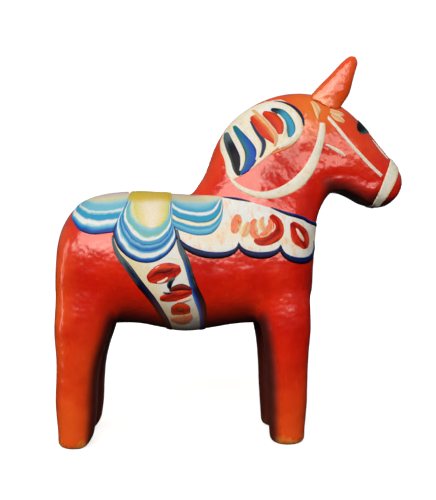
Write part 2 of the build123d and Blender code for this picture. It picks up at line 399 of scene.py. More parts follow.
def ear_glow(n, place, cloud):
    """How near a point is to the root of the ears."""
    x, _, z = n.split(place)
    dx, dz = n.math("SUBTRACT", x, EAR_ROOT[0]), n.math("SUBTRACT", z, EAR_ROOT[1])
    away = n.math("SQRT", n.math("MULTIPLY_ADD", dx, dx, n.math("MULTIPLY", dz, dz)))
    return n.fall(n.math("MULTIPLY_ADD", cloud, 0.03, away), *EAR_GLOW)


def sole_wear(n, place):
    """How far the enamel is worn off round the soles."""
    patches = n.math("SUBTRACT", n.noise(place, 130, 5, 0.6), 0.5)
    return n.fall(n.math("MULTIPLY_ADD", patches, 0.022, n.split(place)[2]), *SOLE_WEAR)


def red_lacquer(name):
    """Deep red gloss enamel, orange on legs, crest and ears from thin enamel and painted light, worn to
    yellow at the soles, and darkened by painted shade between the legs and under the belly, jaw and throat.
    """
    n = Nodes(bpy.data.materials.new(name))
    place = n.position()
    cloud = n.noise(place, 38, 4)
    brush = n.noise(n.scaled(place, (260, 900, 90)), 1, 3)
    painted_shade = n.attribute("painted_shade")
    worn = sole_wear(n, place)
    colour = n.ramp(cloud, RED_TONES)
    # Orange on legs, head, nape and rump: thin enamel together with painted light.
    colour = n.tint(colour, thin_enamel_and_painted_light(n, place, cloud), 0.9, n.ramp(cloud, ORANGE_TONES))
    colour = n.tint(colour, ear_glow(n, place, cloud), 0.7, GLOW)
    colour = n.tint(colour, n.step(brush, 0.56, 0.78), 0.22, STREAK)
    colour = n.tint(colour, worn, 0.7, WORN)
    colour = n.tint(colour, n.step(n.noise(place, 1500, 2), 0.70, 0.78), 0.25, SPECK)
    # Painted shade: the enamel turns dark red between the legs and under the belly, jaw and throat.
    colour = n.tint(colour, painted_shade, 0.92, PAINTED_SHADE_COLOUR)
    rough = n.math("MULTIPLY_ADD", n.noise(place, 150, 4), 0.16, 0.14)
    # The painted shade also roughens the enamel and takes coat off it, so that it reflects less there.
    rough = n.math("MULTIPLY_ADD", painted_shade, 0.35, rough)
    waves = n.bump(n.noise(place, 95, 2), 0.0016, 0.55)
    return n.finish({
        "Base Color": colour,
        "Roughness": n.math("MULTIPLY_ADD", worn, 0.3, rough),
        "Specular IOR Level": 0.5,
        "Coat Weight": n.math("MULTIPLY_ADD", painted_shade, -0.55, 0.6),
        "Coat Roughness": 0.06,
        "Normal": n.bump(brush, 0.00022, 0.5, Normal=waves),
        "Coat Normal": n.bump(n.noise(place, 240, 3), 0.0005, 0.5, Normal=waves),
    })


def brush_paint(name, across, seed, wander, ends=None, tint=None, ridge=None, bare=0.0):
    """Thick paint laid by a brush loaded with several colours. across runs from one side of the stroke to
    the other. ends is a colour that the stroke starts with, tint one that clouds it in places, and ridge its
    colour on the back. bare is the share of the stroke's outer bands that is left out on the back."""
    n = Nodes(bpy.data.materials.new(name))
    uv, place = n.uv_map("stroke"), n.position()
    v = n.split(uv)[1]
    hairs = n.noise(n.scaled(uv, (0.35, 16.0, 1.0), (seed, 3 * seed, seed)), 1, 4, 0.6)
    wave = n.noise(n.scaled(uv, (0.9, 1.6, 1.0), (7 * seed, seed, 0)), 1, 2)
    drift = n.math("MULTIPLY", n.math("SUBTRACT", hairs, 0.5), wander)
    drift = n.math("ADD", drift, n.math("MULTIPLY", n.math("SUBTRACT", wave, 0.5), wander))
    height = n.math("MULTIPLY_ADD", wave, 0.004, n.split(place)[2])
    if bare:
        v = n.math("MULTIPLY_ADD", n.step(height, *PETAL_TOPS), bare, v)
    colour = n.ramp(n.math("ADD", v, drift), across)
    # Browner and darker towards the bottom, on the lower girth and its roses.
    colour = n.tint(colour, n.fall(height, *BROWN_BELOW), 0.45, LOW_BROWN)
    if tint is not None:
        cloud = n.noise(n.scaled(uv, (2.6, 3.6, 1.0), (seed, 5 * seed, 0)), 1, 4)
        colour = n.tint(colour, n.step(cloud, 0.5, 0.68), 0.75, tint)
    if ends is not None:
        along = n.math("ADD", n.split(n.uv_map("span"))[0], n.math("MULTIPLY", drift, 1.5))
        colour = n.mix(n.step(along, 0.05, 0.4), ends, colour)
    if ridge is not None:
        colour = n.tint(colour, n.step(height, *RIDGE), 0.9, ridge)
    grain = n.ramp(n.noise(n.scaled(place, (900, 900, 900)), 1, 3), GRAIN_TONES)
    lumps = n.bump(n.noise(place, 260, 2), 0.0005, 0.35)
    return n.finish({
        "Base Color": n.mix(1.0, colour, grain, "MULTIPLY"),
        "Roughness": n.math("MULTIPLY_ADD", hairs, 0.3, 0.28),
        "Specular IOR Level": 0.14,
        "Coat Weight": 0.05,
        "Coat Roughness": 0.12,
        "Normal": n.bump(hairs, HAIR_RELIEF, 0.9, Normal=lumps),
    })


# ---------------- places on the carved surface

BARREL_AXIS_Z = 115.0
SECTION_STEPS = 90
SECTION_GAP = 2.0
SECTION_XS = np.arange(-110.0, 50.5, SECTION_GAP)
CHEST_X, CHEST_LENGTH = 22.0, 45.0


def station(x):
    """How many gaps x lies ahead of the first section."""
    return (x - SECTION_XS[0]) / SECTION_GAP


class Surface:
    """Finds points on the carved horse, in millimetres. side is 1 for the left and -1 for the right."""

    def __init__(self, mesh):
        bm = bmesh.new()
        bm.from_mesh(mesh)
        self.tree = BVHTree.FromBMesh(bm)
        bm.free()
        self.tables = {side: self.section_tables(side) for side in (1, -1)}

    def hit(self, origin, direction):
        found, _, _, _ = self.tree.ray_cast(Vector(origin) * MM, Vector(direction).normalized())
        if found is None:
            raise ValueError(f"no surface from {tuple(origin)} towards {tuple(direction)}")
        return np.array(found) / MM

    def from_axis(self, x, angle, side):
        """The point of the barrel at angle from straight up, seen from its axis at x."""
        return self.hit((x, 0, BARREL_AXIS_Z), (0, side * math.sin(angle), math.cos(angle)))

    def outward(self, point):
        return np.array(self.tree.find_nearest(Vector(point) * MM)[1])

    def beside(self, x, z, side):
        """The point that a side view shows at (x, z), or the nearest one if that is just off the outline."""
        origin = Vector((x, 0, z)) * MM
        found = self.tree.ray_cast(origin, Vector((0, side, 0)))[0]
        if found is None:
            found = self.tree.find_nearest(origin + Vector((0, side, 0)) * MM)[0]
        return np.array(found) / MM

    def section_tables(self, side):
        """For each section of the barrel: lengths round it from the middle of the back, and their points."""
        angles = np.linspace(0, math.pi, SECTION_STEPS + 1)
        tables = []
        for x in SECTION_XS:
            points = np.array([self.from_axis(x, angle, side) for angle in angles])
            steps = np.linalg.norm(np.diff(points, axis=0), axis=1)
            tables.append((np.concatenate([[0.0], np.cumsum(steps)]), points))
        return angles, tables

    def round_barrel(self, x, s, side):
        """The point s round the barrel from the middle of the back, at x. Negative s is the other side."""
        if s < 0:
            side, s = -side, -s
        angles, tables = self.tables[side]
        i = int(min(max(station(x), 0), len(tables) - 2))
        share = station(x) - i
        here, ahead = (np.interp(s, tables[k][0], angles) for k in (i, i + 1))
        return self.from_axis(x, (1 - share) * here + share * ahead, side)

    def section_at(self, x):
        """The lengths and points of the right side's section nearest to x."""
        tables = self.tables[-1][1]
        return tables[min(max(int(round(station(x))), 0), len(tables) - 1)]

    def s_of(self, x, z):
        """Length round the barrel from the middle of the back to the height z, at x."""
        lengths, points = self.section_at(x)
        return float(np.interp(-z, -points[:, 2], lengths))

    def belly(self, x):
        """Length round the barrel from the middle of the back to the middle of the belly, at x."""
        return float(self.section_at(x)[0][-1])

    def round_chest(self, t, z, side):
        """Along the flank t is x. Past CHEST_X it goes on round the front of the chest, past its middle."""
        if t <= CHEST_X:
            return self.beside(t, z, side)
        angle = math.pi / 2 * (1 - (t - CHEST_X) / CHEST_LENGTH)
        return self.hit((CHEST_X, 0, z), (math.cos(angle), side * math.sin(angle), 0))

    def t_of(self, x, z):
        """How far round the chest lies the point that a side view shows at (x, z)."""
        if x <= CHEST_X:
            return x
        y = abs(self.beside(x, z, -1)[1])
        return CHEST_X + CHEST_LENGTH * (1 - math.atan2(y, x - CHEST_X) / (math.pi / 2))


# ---------------- strokes of paint

# In mm: how deep a stroke's skin reaches into the wood, how far its rim dips, its rounded edge, its mesh.
SINK, DIP, EDGE, STEP = 0.35, 0.06, 0.9, 0.9
RIM = 0.02
LINE_ACROSS = 9
CURVE_STEPS = 12
LEAST_WIDTH, FULL_WIDTH, LEAST_THICK = 0.25, 2.0, 0.35
INWARD_CROWDING = 1.3
UV_LENGTH = 10


def smooth_curve(points, count):
    """count points evenly along a Catmull-Rom curve through points, each a tuple of any length."""
    p = np.array(points, float)
    p = np.vstack([2 * p[0] - p[1], p, 2 * p[-1] - p[-2]])
    fine = []
    for i in range(1, len(p) - 2):
        for t in np.linspace(0, 1, CURVE_STEPS, endpoint=False):
            a = 2 * p[i]
            b = p[i + 1] - p[i - 1]
            c = 2 * p[i - 1] - 5 * p[i] + 4 * p[i + 1] - p[i + 2]
            d = 3 * p[i] - p[i - 1] - 3 * p[i + 1] + p[i + 2]
            fine.append(0.5 * (a + b * t + c * t**2 + d * t**3))
    fine.append(p[-2])
    fine = np.array(fine)
    along = np.concatenate([[0.0], np.cumsum(np.linalg.norm(np.diff(fine[:, :2], axis=0), axis=1))])
    return np.column_stack([np.interp(np.linspace(0, along[-1], count), along, column) for column in fine.T])


def length_of(points):
    p = np.array(points, float)[:, :2]
    return float(np.linalg.norm(np.diff(p, axis=0), axis=1).sum())


def dome(share):
    """Height of a rounded edge, from 0 at the edge to 1 a whole edge's width further in."""
    share = np.clip(share, 0, 1)
    return np.sqrt(1 - (1 - share) ** 2)


def normals_of(grid):
    along = np.gradient(grid, axis=0)
    across = np.gradient(grid, axis=1)
    normal = np.cross(along, across)
    return normal / np.maximum(np.linalg.norm(normal, axis=2, keepdims=True), 1e-9)


class Paint:
    """Collects the strokes of one piece of paint into one mesh."""

    def __init__(self, surface):
        self.surface = surface
        self.bm = bmesh.new()
        self.uv = self.bm.loops.layers.uv.new("stroke")
        self.span = self.bm.loops.layers.uv.new("span")

    def lay(self, grid, height, u, v, closed=False):
        """A closed skin over grid, points in mm of shape (along, across, 3), height proud of the wood."""
        normal = normals_of(grid)
        i, j = grid.shape[0] // 2, grid.shape[1] // 2
        if np.dot(normal[i, j], self.surface.outward(grid[i, j])) < 0:
            grid, height, u, v, normal = (a[:, ::-1] for a in (grid, height, u, v, -normal))
        top = grid + normal * height[..., None]
        bottom = grid - normal * SINK
        rows, columns = grid.shape[:2]
        made = {}
        for layer, points in (("top", top), ("bottom", bottom)):
            for i in range(rows):
                for j in range(columns):
                    made[layer, i, j] = self.bm.verts.new(Vector(points[i, j]) * MM)
        last = rows if closed else rows - 1
        for i in range(last):
            k = (i + 1) % rows
            for j in range(columns - 1):
                corners = [(i, j), (k, j), (k, j + 1), (i, j + 1)]
                self.face([("top", *c) for c in corners], made, u, v)
                self.face([("bottom", *c) for c in reversed(corners)], made, u, v)
            for j in (0, columns - 1):
                side = [("top", i, j), ("top", k, j), ("bottom", k, j), ("bottom", i, j)]
                self.face(side, made, u, v, j == 0)
        if not closed:
            for j in range(columns - 1):
                for i in (0, rows - 1):
                    end = [("top", i, j), ("top", i, j + 1), ("bottom", i, j + 1), ("bottom", i, j)]
                    self.face(end, made, u, v, i != 0)

    def face(self, keys, made, u, v, flip=False):
        if flip:
            keys = keys[::-1]
        face = self.bm.faces.new([made[key] for key in keys])
        face.smooth = True
        for loop, (_, i, j) in zip(face.loops, keys):
            loop[self.uv].uv = (u[i, j], v[i, j])
            loop[self.span].uv = (i / u.shape[0], v[i, j])

    def line(self, place, points, thick, start=0.0):
        """A stroke along points (a, b, width), where place(a, b) gives the spot on the wood."""
        count = max(8, int(length_of(points) / STEP) + 1)
        curve = smooth_curve(points, count)
        run = np.gradient(curve[:, :2], axis=0)
        run /= np.maximum(np.linalg.norm(run, axis=1, keepdims=True), 1e-9)
        out = np.column_stack([-run[:, 1], run[:, 0]])
        share = (1 - np.cos(np.linspace(0, math.pi, LINE_ACROSS))) / 2
        width = np.maximum(curve[:, 2], LEAST_WIDTH)
        grid = np.array([
            [place(*(curve[i, :2] + out[i] * width[i] * (s - 0.5))) for s in share] for i in range(count)
        ])
        profile = dome(2 * np.minimum(share, 1 - share))[None, :]
        along = np.linspace(0, length_of(points), count)
        tips = dome(np.minimum(along, along[-1] - along) / np.maximum(width, 1.0))[:, None]
        fullness = np.clip(width / FULL_WIDTH, LEAST_THICK, 1)[:, None]
        height = thick * profile * tips * fullness - DIP * (profile * tips < RIM)
        u = np.repeat(along[:, None] / UV_LENGTH + start, LINE_ACROSS, axis=1)
        v = np.repeat(share[None, :], count, axis=0)
        self.lay(grid, height, u, v)

    def patch(self, place, outer, inner, thick, open_ends=True, open_inner=False):
        """A patch ruled between an outer and an inner curve of one direction. v is 0 at the outer one."""
        count = max(12, int(max(length_of(outer), length_of(inner)) / STEP) + 1)
        a, b = smooth_curve(outer, count), smooth_curve(inner, count)
        reach = np.linalg.norm(a[:, :2] - b[:, :2], axis=1)
        columns = max(10, int(reach.max() / STEP) + 1)
        share = np.linspace(0, 1, columns)
        if open_inner:
            share = share**INWARD_CROWDING
        else:
            share = (share + (1 - np.cos(math.pi * share)) / 2) / 2
        flat = a[:, None, :2] * (1 - share)[None, :, None] + b[:, None, :2] * share[None, :, None]
        grid = np.array([[place(*flat[i, j]) for j in range(columns)] for i in range(count)])
        from_outer = reach[:, None] * share[None, :]
        from_inner = np.full_like(from_outer, EDGE) if open_inner else reach[:, None] - from_outer
        along = np.linspace(0, length_of(outer), count)[:, None]
        from_end = np.full_like(along, EDGE) if open_ends else np.minimum(along, along[-1] - along)
        near = np.minimum(np.minimum(from_outer, from_inner), from_end)
        height = thick * dome(near / EDGE) - DIP * (near < RIM)
        u = np.repeat(along / UV_LENGTH, columns, axis=1)
        v = np.repeat(share[None, :], count, axis=0)
        self.lay(grid, height, u, v)

    def mesh(self, name):
        bmesh.ops.recalc_face_normals(self.bm, faces=self.bm.faces[:])
        return mesh_of(self.bm, name)


# ---------------- the decoration: (x, z) or (x, z, width), mm

INK, NAVY, ROYAL = rgb(5, 5, 14), rgb(6, 20, 84), rgb(10, 84, 196)
CYAN, SKY, PALE = rgb(52, 162, 214), rgb(116, 196, 228), rgb(170, 216, 230)
TEAL, SLATE = rgb(24, 120, 140), rgb(84, 110, 124)
WHITE, LILAC, CREAM = rgb(226, 238, 246), rgb(204, 214, 234), rgb(234, 233, 216)
SAND, YELLOW, PEACH = rgb(226, 222, 174), rgb(212, 190, 36), rgb(230, 160, 104)
BRICK, BLOOD, PINK = rgb(206, 32, 18), rgb(130, 10, 8), rgb(236, 130, 116)
PETAL, LIME, ASH, SEA = rgb(238, 202, 168), rgb(206, 216, 128), rgb(208, 206, 180), rgb(112, 192, 198)
FLAME, BARK, MOSS = rgb(220, 66, 16), rgb(96, 24, 16), rgb(16, 34, 30)

BACK = 0.0
# The middle petal runs in under the crown, down to this share of the crown's size.
UNDER_CROWN = 0.8

REAR_PETAL_RIM = [
    (-97, BACK), (-100.5, 149), (-102.6, 143), (-101, 137.4), (-96.3, 133), (-88.8, 130.6), (-80.5, 131),
    (-73, 132.5), (-62, 138),
]
REAR_PETAL_TOP = [(x, BACK) for x in (-93, -92, -90, -88, -84, -80, -76, -72, -70)]
MIDDLE_PETAL_RIM = [
    (-66, BACK), (-69, 150), (-75.5, 134), (-75, 127), (-71.5, 120.5), (-64.5, 115), (-56.5, 113),
    (-49, 114.5), (-42, 119.5), (-38, 127), (-40, 137), (-40.5, 148), (-41, BACK),
]
CROWN_RIM = [
    (-64, BACK), (-65, 154), (-64.6, 147), (-62.5, 140), (-58.5, 135.6), (-53, 134), (-47.5, 135.2),
    (-43.6, 139.5), (-42, 146), (-42, 154), (-43, BACK),
]
FRONT_PETAL_RIM = [
    (-46, 156.5), (-44.5, 143), (-40, 135), (-31.5, 131), (-24, 129.5), (-16, 131), (-10.5, 138),
    (-8.5, 149), (-9, 154),
]
FRONT_PETAL_TOP = [
    (-42, 156.8), (-38, 156.6), (-33, 156.4), (-29, 156), (-25, 155.8), (-21, 155.6), (-17, 155.4),
    (-13, 155), (-11, 154.8),
]

GIRTH_REAR = [
    (-76, 130, 1.4), (-75.5, 125, 2.0), (-72.5, 118, 3.2), (-67, 111, 4.4), (-60, 101, 5.0),
    (-51.5, 90, 5.0), (-45, 79, 4.8), (-42.5, 72, 4.8),
]
GIRTH_FRONT = [
    (-38, 134, 2.0), (-35.5, 122.5, 4.0), (-32, 114, 4.4), (-30, 107, 4.4), (-27, 97, 4.8), (-25, 91, 5.0),
    (-22.3, 85, 5.0), (-21.4, 77, 4.8), (-21.2, 72, 4.8),
]
# Where the girth's two edges meet the belly's middle: x and width.
GIRTH_BELLY = [(-42.0, 4.8), (-21.2, 4.8)]

COLLAR_TOP = [(-9, 154.2), (0, 152.8), (8.5, 151), (21, 147.5), (32, 143.5), (42, 141), (49, 138)]
COLLAR_CUSPS = [(-39, 136), (0, 126.5), (26, 125), (49.6, 128)]
COLLAR_ROOT = [(-39.5, 141), (-36, 142), (-30, 146), (-20, 150), (-12, 153)]
COLLAR_CHEST_TOP = 135.5
REAR_TOP_WIDTHS, FRONT_TOP_WIDTHS = (1.0, 2.0, 0.8), (1.2, 2.6, 3.0, 3.0, 3.0)
LOBE_DEPTHS = [11.5, 6.5, 10.5, 9.0]
LOBE_EDGE = 4.6

# Strokes of the roses, by the material that they take. They lie on the bands, so only their tops show.
GIRTH_ROSES = {
    "bloom": [
        [(-56, 103, 4.5), (-51, 105, 11.0), (-45.5, 107, 13.0), (-40, 108.6, 11.0), (-34.5, 110, 4.0)],
        [(-48.5, 91.4, 3.0), (-44, 92, 5.6), (-37.8, 93.2, 7.0), (-32, 94.8, 5.6), (-27.5, 96, 2.5)],
        [(-42, 84, 5.0), (-38.5, 84.2, 10.0), (-35, 84.3, 11.5), (-31.5, 84.4, 9.5), (-28.5, 84.5, 4.5)],
    ],
    "blush": [
        [(-42, 78.5, 3.0), (-37, 78.6, 8.0), (-32, 79, 9.0), (-27.5, 81, 4.0)],
    ],
    "heart": [
        [(-53, 105.5, 0.9), (-49, 108, 2.2), (-44, 108.4, 2.6), (-38.5, 110.3, 1.0)],
        [(-42.5, 96.2, 1.6), (-38.5, 98, 3.6), (-34, 98.6, 4.2), (-28, 97, 1.8)],
        [(-37.6, 83.9, 2.0), (-35.2, 84.6, 3.2), (-32.8, 84.2, 2.0)],
    ],
    "stem": [
        [(-38.5, 104.5, 1.0), (-41, 102.5, 3.0), (-42.2, 99.5, 3.2), (-41.6, 97, 1.2)],
        [(-46.5, 95.8, 0.8), (-43.5, 94.6, 1.6), (-39, 95.6, 0.8)],
    ],
    "light": [
        [(-50, 101.2, 1.4), (-46, 102.2, 2.4), (-42.5, 105, 1.2)],
        [(-38, 89.5, 1.2), (-33.5, 90.4, 2.6), (-28.5, 92, 1.6)],
        [(-52, 107.5, 0.6), (-49.5, 110.6, 1.0), (-45.5, 111.6, 0.6)],
    ],
}
COLLAR_ROSES = {
    "bloom": [
        [
            (20.2, 143, 4.0), (24.3, 138, 7.5), (24.2, 131.8, 9.0), (19.5, 127.6, 7.5), (13, 126, 5.5),
            (9, 127.5, 2.5),
        ],
        [
            (33.8, 138.8, 3.5), (36.8, 133.8, 11.5), (39.2, 129.4, 15.0), (41.4, 125.2, 12.0),
            (42.8, 121, 3.5),
        ],
    ],
    "blush": [
        [(11.5, 140.5, 3.0), (9.2, 135.6, 6.0), (10, 130.5, 6.0), (13.6, 128.4, 2.5)],
        [
            (19.4, 140.4, 2.0), (20.4, 136.4, 4.5), (18.8, 132.8, 6.0), (15.6, 130.2, 5.0),
            (12.6, 130.6, 2.0),
        ],
        [(0.6, 143.5, 3.0), (-0.6, 138.5, 7.5), (-2.2, 133.5, 6.5), (-3.4, 130.5, 2.5)],
    ],
    "gold": [
        [(6.8, 138.5, 2.0), (5, 134.5, 5.0), (3.4, 130.8, 4.5), (1.8, 128.8, 1.5)],
        [(16.5, 141.8, 1.5), (14.4, 138.4, 4.0), (15, 134.8, 4.5), (17.6, 132.8, 1.5)],
    ],
    "light": [
        [(36.2, 135, 1.0), (38.2, 131.2, 3.2), (40.2, 128, 2.6), (41.4, 125.6, 0.8)],
        [(22, 139, 0.8), (22.8, 134.5, 1.6), (19.6, 130.6, 0.8)],
    ],
}

MANE_REAR = [
    (30, 219), (22, 218), (11.6, 214.8), (2.6, 209), (-4.2, 202), (-8.8, 193.6), (-9.6, 186), (-7.2, 178),
    (-6.2, 170), (-3.9, 164.8),
]
MANE_FRONT = [
    (30, 219), (36, 215), (41, 209), (43, 202), (41, 195), (36, 190), (27, 186), (14, 175.5), (5, 169),
    (-3.5, 164.6),
]
MANE_SMEAR = [(21, 181.4, 0.8), (27, 184.2, 2.4), (33.5, 187, 2.4), (39.5, 190.8, 0.8)]
MANE_LOCKS = {
    "ink": [
        [
            (-5.2, 198, 3.0), (-4.8, 192.5, 5.6), (-2.8, 186, 7.4), (-0.4, 179, 7.6), (0.8, 172, 6.6),
            (1.6, 167, 2.0),
        ],
    ],
    "blue": [
        [
            (-0.6, 202, 2.4), (2.2, 196, 5.4), (6, 189.8, 7.6), (9, 184, 9.0), (9.2, 178.6, 8.6),
            (6, 172.8, 5.6), (2, 168.2, 1.6),
        ],
    ],
    # A slate line that stands for the shadow beside the second white lock: a painted shadow.
    "slate_shadow": [
        [(9.6, 204.6, 1.4), (13.8, 195.6, 3.0), (17.6, 189.4, 3.6), (16.6, 183, 2.8), (14.6, 178.8, 1.2)],
    ],
    "teal": [
        [(22.6, 212, 2.4), (29.6, 209, 6.2), (33.6, 203.4, 7.4), (35.2, 198, 7.0), (34.2, 192, 3.0)],
    ],
    "white": [
        [
            (-3, 201.4, 2.2), (-1.2, 195.5, 3.4), (2, 188.4, 3.6), (4, 182, 3.8), (3.6, 175, 3.4),
            (1.4, 169.4, 1.0),
        ],
        [
            (3.4, 206.4, 3.6), (7, 199.6, 5.4), (11.6, 193, 5.8), (14.4, 186.6, 5.0), (14, 181.6, 3.2),
            (11.6, 177, 1.0),
        ],
        [(26.4, 209.4, 1.4), (31, 203.6, 2.6), (31.6, 198, 2.6), (30, 192, 1.2)],
        [
            (19, 217, 2.4), (29.5, 214.8, 4.6), (36.8, 209.6, 5.0), (40.4, 202, 5.2), (39.6, 195.5, 5.0),
            (34.5, 190.2, 4.8), (26.5, 186.4, 3.0),
        ],
    ],
    "night": [
        [(24, 218.2, 0.8), (31, 216.6, 1.8), (37.6, 213, 2.4), (42.2, 207.4, 2.4), (44, 200.5, 1.0)],
    ],
}
RED_LOCK = {
    "flame": [
        [(10.6, 208.2, 5.0), (15, 202.2, 9.6), (19.4, 196.6, 10.4), (23.6, 191, 5.0), (25.6, 187.6, 1.5)],
    ],
    "bark": [[(17.4, 210, 3.6), (23.4, 206, 8.4), (27.6, 200.4, 9.0), (28, 194, 3.4)]],
    "gold": [
        [(11.4, 212.4, 2.0), (16.6, 206.2, 3.6), (22, 199.6, 3.8), (25.4, 193.4, 3.6), (24.4, 186.4, 1.4)],
    ],
}
THROAT_STRAP = [
    (55, 209.5, 1.2), (55.8, 203, 3.6), (55.2, 196, 4.6), (53.2, 187, 5.2), (48, 174.5, 6.8),
    (39.5, 164.3, 7.8), (28, 157.6, 6.4), (16, 155.4, 4.6), (5.5, 158.2, 3.4), (-1.5, 163.2, 2.6),
    (-4.6, 168.5, 1.4),
]
CHEEKPIECE = [
    (55.2, 212.6, 0.9), (60, 206.5, 2.2), (65.2, 200.3, 2.5), (75.6, 187.8, 2.3), (86.8, 176.4, 2.5),
    (95.5, 168.8, 2.2),
]
CHEEK_DASH = [(57.5, 189, 0.8), (61, 187.3, 1.8), (66.5, 184.4, 2.4), (71, 181.3, 1.2)]
EYE_MARK = [(64.5, 201.8, 0.8), (66, 199.8, 2.0), (67.2, 198, 0.8)]
NOSE_LINE = [(90.5, 193.5, 0.6), (93.5, 190, 1.4), (98, 184.5, 1.6), (101.5, 180.8, 0.8)]
EAR_TRIM = [
    [(49.5, 218, 1.4), (52, 214.6, 3.8), (53.4, 210, 4.4), (54, 205, 2.6)],
    [(53.8, 212.4, 1.2), (57, 209.6, 3.2), (60.4, 205.8, 2.4)],
    [(57, 213.6, 1.0), (62, 211.2, 3.0), (68.5, 209.7, 2.8), (71.5, 208.5, 0.8)],
    [(62, 209, 1.6), (66.5, 206.6, 4.6), (71, 203.8, 1.6)],
]

# Rings round the head: (x, z) of the centre, then the way up within the ring's plane, as (x, z).
NOSEBAND_CENTRE, NOSEBAND_UP = (99.5, 166), (0.42, 0.907)
NOSEBAND_WIDTH, NOSEBAND_AHEAD, NOSEBAND_STEPS = 6.6, 1.2, 120
FOREHEAD_CENTRE, FOREHEAD_UP = (74, 192), (0.74, 0.67)
# (degrees from the top, width)
FOREHEAD_PATCH = [(-58, 3), (-48, 7.5), (-25, 11), (0, 12), (25, 11), (48, 7.5), (58, 3)]

# How thick the paint stands, in mm.
PETAL_THICK, MIDDLE_PETAL_THICK, CROWN_THICK = 0.55, 0.8, 0.95
GIRTH_THICK, COLLAR_THICK, LEAF_THICK, EDGING_THICK = 0.32, 0.34, 0.35, 0.62
REAR_TOP_THICK, FRONT_TOP_THICK, NOSEBAND_THICK, FOREHEAD_THICK, TRIM_THICK = 0.5, 0.55, 0.5, 0.4, 0.3


def for_side(surface, side):
    """The three ways of placing a stroke on this side of the horse: beside, round_barrel and round_chest."""
    ways = (surface.beside, surface.round_barrel, surface.round_chest)
    return [lambda a, b, way=way: way(a, b, side) for way in ways]


def unrolled(surface, points):
    """(x, z, ...) points as (x, s, ...), with s the length round the barrel from the middle of the back."""
    return [(x, surface.s_of(x, z) if z != BACK else 0.0, *rest) for x, z, *rest in points]


def lobe_edge(start, end, depth, count=17):
    """A hanging arc between two cusps."""
    points = []
    for share in np.linspace(0, 1, count):
        t = start[0] + (end[0] - start[0]) * (1 - math.cos(math.pi * share)) / 2
        z = start[1] + (end[1] - start[1]) * share - depth * math.sin(math.pi * share) ** 0.8
        points.append((t, z))
    return points


def shrunk(points, share):
    """points drawn in towards their middle, apart from the first and the last."""
    middle = np.mean(points, axis=0)
    inner = [tuple(middle + (np.array(point) - middle) * share) for point in points[1:-1]]
    return [points[0], *inner, points[-1]]


def paint_patch(surface, name, *curves, **openings):
    """One patch of paint; curves and openings as for Paint.patch."""
    paint = Paint(surface)
    paint.patch(*curves, **openings)
    return paint.mesh(name)


def paint_saddle(surface, side):
    beside, round_barrel, _ = for_side(surface, side)
    crown = shrunk(unrolled(surface, CROWN_RIM), UNDER_CROWN)
    rear = unrolled(surface, REAR_PETAL_RIM), unrolled(surface, REAR_PETAL_TOP)
    petals = {}
    for name, rim, inner, place, thick in (
        ("rear_petal", *rear, round_barrel, PETAL_THICK),
        ("middle_petal", unrolled(surface, MIDDLE_PETAL_RIM), crown, round_barrel, MIDDLE_PETAL_THICK),
        ("front_petal", FRONT_PETAL_RIM, FRONT_PETAL_TOP, beside, PETAL_THICK),
    ):
        openings = {"open_ends": place is round_barrel, "open_inner": True}
        petals[name] = paint_patch(surface, f"saddle_{name}", place, rim, inner, thick, **openings)
    return petals


def paint_crown(surface):
    """The yellow middle of the saddle, across the back from one side to the other."""
    rim = unrolled(surface, CROWN_RIM)
    lowest = max(range(len(rim)), key=lambda i: rim[i][1])
    rear, front = rim[: lowest + 1], rim[lowest:][::-1]
    rear = [(x, -s) for x, s in rear[::-1]] + rear[1:]
    front = [(x, -s) for x, s in front[::-1]] + front[1:]
    place = for_side(surface, -1)[1]
    return paint_patch(surface, "saddle_crown", place, rear, front, CROWN_THICK, open_ends=False)


def paint_girth(surface, side):
    _, round_barrel, _ = for_side(surface, side)
    lines = []
    for line, (x, width) in zip((GIRTH_REAR, GIRTH_FRONT), GIRTH_BELLY):
        lines.append([*unrolled(surface, line), (x, surface.belly(x), width)])
    band = paint_patch(surface, "girth", round_barrel, *lines, GIRTH_THICK)
    edgings = [paint_lines(surface, round_barrel, [line], EDGING_THICK, "girth_edging") for line in lines]
    return band, *edgings


def paint_collar(surface, side):
    round_chest = for_side(surface, side)[2]
    cusps = [(surface.t_of(x, z), z) for x, z in COLLAR_CUSPS]
    middle = CHEST_X + CHEST_LENGTH
    cusps.append((2 * middle - cusps[-1][0], cusps[-1][1]))
    lobes = [lobe_edge(a, b, depth) for a, b, depth in zip(cusps, cusps[1:], LOBE_DEPTHS)]
    top = [(surface.t_of(x, z), z) for x, z in COLLAR_TOP] + [(middle, COLLAR_CHEST_TOP)]
    under = [point for lobe in lobes[:-1] for point in lobe[:-1]] + lobes[-1][: len(lobes[-1]) // 2 + 1]
    band = paint_patch(surface, "breast_collar", round_chest, under, COLLAR_ROOT + top, COLLAR_THICK)
    edging = Paint(surface)
    for i, lobe in enumerate(lobes):
        shown = lobe if i < len(lobes) - 1 else lobe[: len(lobe) // 2 + 1]
        arc = [math.sin(math.pi * j / (len(lobe) - 1)) for j in range(len(lobe))]
        widths = [LOBE_EDGE * (0.25 + 0.75 * height) for height in arc]
        line = [(t, z - w / 3, w) for (t, z), w in zip(shown, widths)]
        edging.line(round_chest, line, EDGING_THICK, start=4.0 * i)
    split = len(REAR_TOP_WIDTHS)
    rear_top = [(t, z, w) for (t, z), w in zip(top, REAR_TOP_WIDTHS)]
    front_top = [(t, z, w) for (t, z), w in zip(top[split:], FRONT_TOP_WIDTHS)]
    edging.line(round_chest, rear_top, REAR_TOP_THICK)
    edging.line(round_chest, front_top, FRONT_TOP_THICK, start=6.0)
    return band, edging.mesh("collar_edging")


def paint_lines(surface, place, lines, thick, name):
    paint = Paint(surface)
    for i, points in enumerate(lines):
        paint.line(place, points, thick, start=3.7 * i)
    return paint.mesh(name)


